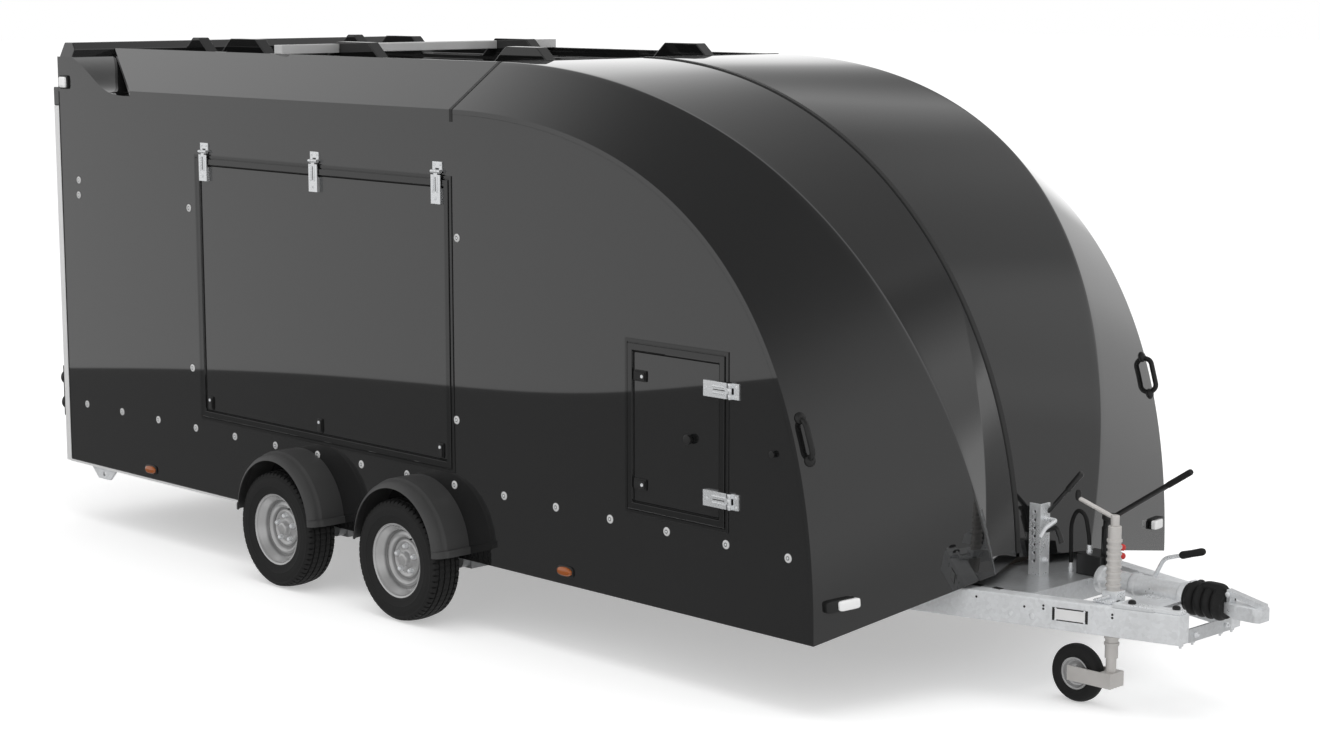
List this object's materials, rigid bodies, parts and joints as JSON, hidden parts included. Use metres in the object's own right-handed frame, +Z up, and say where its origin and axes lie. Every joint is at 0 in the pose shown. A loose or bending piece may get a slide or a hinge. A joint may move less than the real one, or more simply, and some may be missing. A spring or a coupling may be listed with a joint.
{
  "type": "enclosed car transporter trailer",
  "caption": "Enclosed tandem-axle car trailer with a curved two-lobed nose, lift-up side hatch, front locker door, rear ramp door, overrun coupling and jockey wheel.",
  "frame": {"origin": "on the ground below the middle of the whole trailer, from tail lamps to coupling tip", "axes": "+X forward to the coupling, +Y to the left side, +Z up"},
  "size_m": [6.25, 2.55, 2.375],
  "materials": {
    "body": "gloss dark grey coach paint",
    "mould": "gloss dark grey gel coat",
    "trim_black": "satin black trim",
    "guard": "moulded matt black plastic",
    "galvanised": "hot-dip galvanised",
    "alloy": "plain extruded aluminium",
    "bright": "bright zinc plated steel",
    "deck": "resin coated plywood",
    "tyre": "road tyre rubber",
    "rim": "silver painted pressed steel",
    "jack": "pale grey painted steel",
    "black_steel": "black painted steel",
    "bellows": "black rubber",
    "cast": "galvanised casting",
    "lens_red": "dark red lens",
    "lens_amber": "amber lens",
    "lens_clear": "clear lens over white reflector"
  },
  "bodies": {
    "trailer": {"axles": "galvanised", "chassis_rails": "galvanised", "clear_marker_lamps": "lens_clear", "coupling_gaiter": "bellows", "coupling_head": "cast", "coupling_housing": "cast", "cross_members": "galvanised", "deck": "deck", "door_frames": "trim_black", "door_hinge_plates": "bright", "drawbar_beams": "galvanised", "drawbar_plates": "galvanised", "grab_handles": "trim_black", "handbrake_lever": "bright", "jockey_tube": "jack", "mudguards": "guard", "nose_moulding_left": "mould", "nose_moulding_right": "mould", "nose_seam_strip": "mould", "prop_post": "bright", "pump_hose": "bellows", "ramp_hinges": "galvanised", "rear_header": "body", "rear_posts": "alloy", "rear_sill": "galvanised", "rear_skids": "galvanised", "rear_spoiler": "mould", "roof_cheek_left": "body", "roof_cheek_right": "body", "roof_cross_bar": "alloy", "roof_panel": "body", "roof_rails": "trim_black", "side_marker_lamps": "lens_amber", "side_panel_left": "body", "side_panel_right": "body", "sill_strips": "alloy", "tail_lamp_lenses": "lens_red", "tail_lamp_plates": "trim_black", "tilt_pump": "black_steel"},
    "side_hatch": {"hatch_panel": "body", "hatch_hinge_straps": "bright", "hatch_latches": "trim_black"},
    "locker_door": {"locker_panel": "body", "locker_hinge_straps": "bright", "locker_fittings": "trim_black"},
    "ramp": {"ramp_door": "body", "ramp_latches": "black_steel"},
    "jockey_slide": {"jockey_stem": "jack"},
    "jockey_swivel": {"jockey_fork": "jack"},
    "jockey_wheel": {"jockey_tyre": "tyre", "jockey_rim": "rim"},
    "wheel_front_left": {"tyre_front_left": "tyre", "rim_front_left": "rim"},
    "wheel_front_right": {"tyre_front_right": "tyre", "rim_front_right": "rim"},
    "wheel_rear_left": {"tyre_rear_left": "tyre", "rim_rear_left": "rim"},
    "wheel_rear_right": {"tyre_rear_right": "tyre", "rim_rear_right": "rim"}
  },
  "joints": [
    {"name": "side_hatch_lift", "type": "hinge", "parent": "trailer", "child": "side_hatch", "pos_m": [-0.97, -1.112, 1.885], "axis": [-1, 0, 0], "range_deg": [0, 95]},
    {"name": "locker_door_swing", "type": "hinge", "parent": "trailer", "child": "locker_door", "pos_m": [1.53, -1.112, 0.9635], "axis": [0, 0, 1], "range_deg": [0, 170]},
    {"name": "ramp_lower", "type": "hinge", "parent": "trailer", "child": "ramp", "pos_m": [-3.078, 0, 0.429], "axis": [0, -1, 0], "range_deg": [0, 104.5]},
    {"name": "jockey_height", "type": "slide", "parent": "trailer", "child": "jockey_slide", "axis": [0, 0, 1], "range_m": [0, 0.047]},
    {"name": "jockey_turn", "type": "hinge", "parent": "jockey_slide", "child": "jockey_swivel", "pos_m": [2.587, -0.181, 0.12], "axis": [0, 0, 1], "continuous": true},
    {"name": "jockey_roll", "type": "hinge", "parent": "jockey_swivel", "child": "jockey_wheel", "pos_m": [2.441, -0.181, 0.11], "axis": [0, 1, 0], "continuous": true},
    {"name": "wheel_front_left_roll", "type": "hinge", "parent": "trailer", "child": "wheel_front_left", "pos_m": [-0.262, 1.1875, 0.26], "axis": [0, 1, 0], "continuous": true},
    {"name": "wheel_front_right_roll", "type": "hinge", "parent": "trailer", "child": "wheel_front_right", "pos_m": [-0.262, -1.1875, 0.26], "axis": [0, 1, 0], "continuous": true},
    {"name": "wheel_rear_left_roll", "type": "hinge", "parent": "trailer", "child": "wheel_rear_left", "pos_m": [-1.108, 1.1875, 0.26], "axis": [0, 1, 0], "continuous": true},
    {"name": "wheel_rear_right_roll", "type": "hinge", "parent": "trailer", "child": "wheel_rear_right", "pos_m": [-1.108, -1.1875, 0.26], "axis": [0, 1, 0], "continuous": true}
  ]
}
